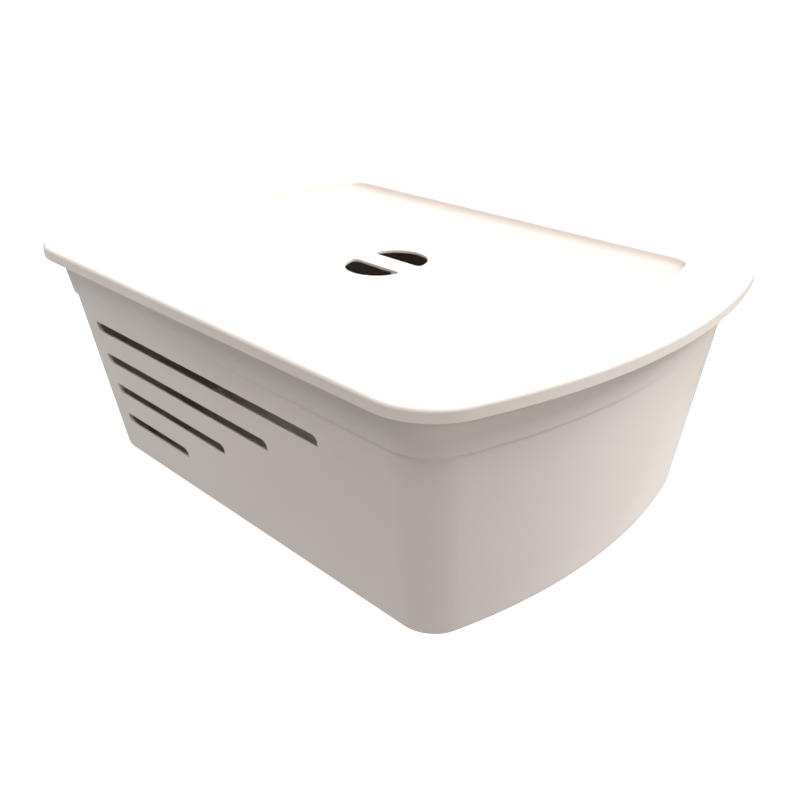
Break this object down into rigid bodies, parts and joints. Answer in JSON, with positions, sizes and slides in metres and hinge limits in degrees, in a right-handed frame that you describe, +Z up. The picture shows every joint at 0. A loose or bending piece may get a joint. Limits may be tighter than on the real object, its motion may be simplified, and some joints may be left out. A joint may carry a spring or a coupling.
{
  "type": "potato storage bin",
  "caption": "Tapered plastic storage bin with bowed ends and vent slots, and a flat lid with a recessed panel and finger holes that lifts straight off.",
  "frame": {"origin": "centre of the base, on the surface the bin stands on", "axes": "+Z up; +X along the long straight sides, towards the end without vents; the vents are in the -Y and +Y sides"},
  "size_m": [0.4, 0.298, 0.1484],
  "materials": {
    "bin_plastic": "satin moulded polypropylene, warm off-white",
    "lid_plastic": "satin moulded polypropylene, warm off-white"
  },
  "bodies": {
    "bin": {"bin_body": "bin_plastic"},
    "lid": {"lid": "lid_plastic"}
  },
  "joints": [
    {"name": "lid_lift", "type": "slide", "parent": "bin", "child": "lid", "axis": [0, 0, 1], "range_m": [0, 0.2]}
  ]
}
